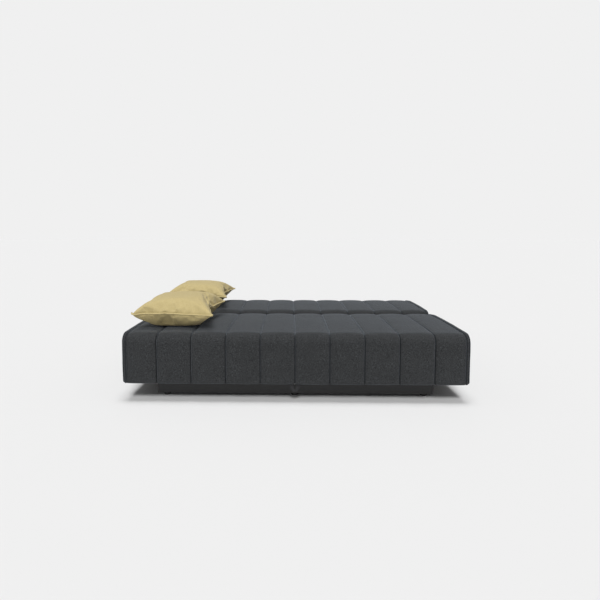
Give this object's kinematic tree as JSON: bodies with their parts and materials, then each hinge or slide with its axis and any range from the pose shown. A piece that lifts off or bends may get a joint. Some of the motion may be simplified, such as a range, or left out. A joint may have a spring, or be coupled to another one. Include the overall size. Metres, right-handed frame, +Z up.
{
  "type": "sofa bed",
  "caption": "Two-block sofa bed on a low plinth, folded flat, with quilted channels, a pull strap and two loose square pillows.",
  "frame": {"origin": "on the floor under the middle of the bed, folded flat", "axes": "+X along the width to the right, +Y from the front to the rear, +Z up"},
  "size_m": [2, 1.3, 0.5948],
  "materials": {
    "quilt_cloth": "matte",
    "welt_cloth": "matte",
    "pillow_cloth": "matte",
    "foam": "matte",
    "dust_cloth": "matte",
    "webbing": "matte",
    "strap_webbing": "matte",
    "frame_timber": "matte",
    "plinth_board": "matte",
    "black_plastic": "matte",
    "zinc_steel": "satin",
    "black_steel": "satin",
    "foot_rubber": "matte"
  },
  "bodies": {
    "plinth": {"plinth_corner_blocks": "plinth_board", "plinth_front_board": "plinth_board", "plinth_glides": "black_plastic", "plinth_left_board": "plinth_board", "plinth_middle_board": "plinth_board", "plinth_rear_board": "plinth_board", "plinth_right_board": "plinth_board", "plinth_runner_left": "black_steel", "plinth_runner_middle": "black_steel", "plinth_runner_right": "black_steel"},
    "seat": {"hinge_pins": "zinc_steel", "seat_cover": "quilt_cloth", "seat_cross_rails": "frame_timber", "seat_dust_cover": "dust_cloth", "seat_end_panel_left": "welt_cloth", "seat_end_panel_right": "welt_cloth", "seat_end_rail_left": "frame_timber", "seat_end_rail_right": "frame_timber", "seat_foam": "foam", "seat_front_rail": "frame_timber", "seat_hinge_arm_left": "black_steel", "seat_hinge_arm_right": "black_steel", "seat_hinge_bolts": "zinc_steel", "seat_rear_rail": "frame_timber", "seat_slider_left": "zinc_steel", "seat_slider_middle": "zinc_steel", "seat_slider_right": "zinc_steel", "seat_webbing": "webbing", "seat_welt_left": "welt_cloth", "seat_welt_right": "welt_cloth", "strap_anchor": "zinc_steel"},
    "back": {"back_cover": "quilt_cloth", "back_cross_rails": "frame_timber", "back_dust_cover": "dust_cloth", "back_end_panel_left": "welt_cloth", "back_end_panel_right": "welt_cloth", "back_end_rail_left": "frame_timber", "back_end_rail_right": "frame_timber", "back_foam": "foam", "back_front_rail": "frame_timber", "back_hinge_arm_left": "black_steel", "back_hinge_arm_right": "black_steel", "back_hinge_bolts": "zinc_steel", "back_rear_rail": "frame_timber", "back_rest_pads": "black_plastic", "back_webbing": "webbing", "back_welt_left": "welt_cloth", "back_welt_right": "welt_cloth", "rear_leg_brackets": "black_steel"},
    "rear_leg": {"rear_leg_crossbar": "black_steel", "rear_leg_feet": "foot_rubber", "rear_leg_left": "black_steel", "rear_leg_pins": "zinc_steel", "rear_leg_right": "black_steel"},
    "pull_strap": {"pull_strap": "strap_webbing"},
    "front_pillow": {"front_pillow": "pillow_cloth", "front_pillow_piping": "pillow_cloth"},
    "rear_pillow": {"rear_pillow": "pillow_cloth", "rear_pillow_piping": "pillow_cloth"}
  },
  "joints": [
    {"name": "seat_slide", "type": "slide", "parent": "plinth", "child": "seat", "axis": [0, 1, 0], "range_m": [0, 0.06]},
    {"name": "back_fold", "type": "hinge", "parent": "seat", "child": "back", "pos_m": [0, 0.05, 0.372], "axis": [1, 0, 0], "range_deg": [0, 75]},
    {"name": "leg_fold", "type": "hinge", "parent": "back", "child": "rear_leg", "pos_m": [0, 0.56, 0.094], "axis": [1, 0, 0], "range_deg": [-90, 0]},
    {"name": "strap_swing", "type": "hinge", "parent": "seat", "child": "pull_strap", "pos_m": [0, -0.626, 0.10775], "axis": [1, 0, 0], "range_deg": [-70, 10]},
    {"name": "front_pillow_lift", "type": "slide", "parent": "seat", "child": "front_pillow", "axis": [0, -0.5, 0.866], "range_m": [0, 0.3]},
    {"name": "rear_pillow_lift", "type": "slide", "parent": "back", "child": "rear_pillow", "axis": [0, 0.7071, 0.7071], "range_m": [0, 0.3]}
  ],
  "couplings": [
    {"joint": "leg_fold", "follows": "back_fold", "ratio": -1.2}
  ]
}
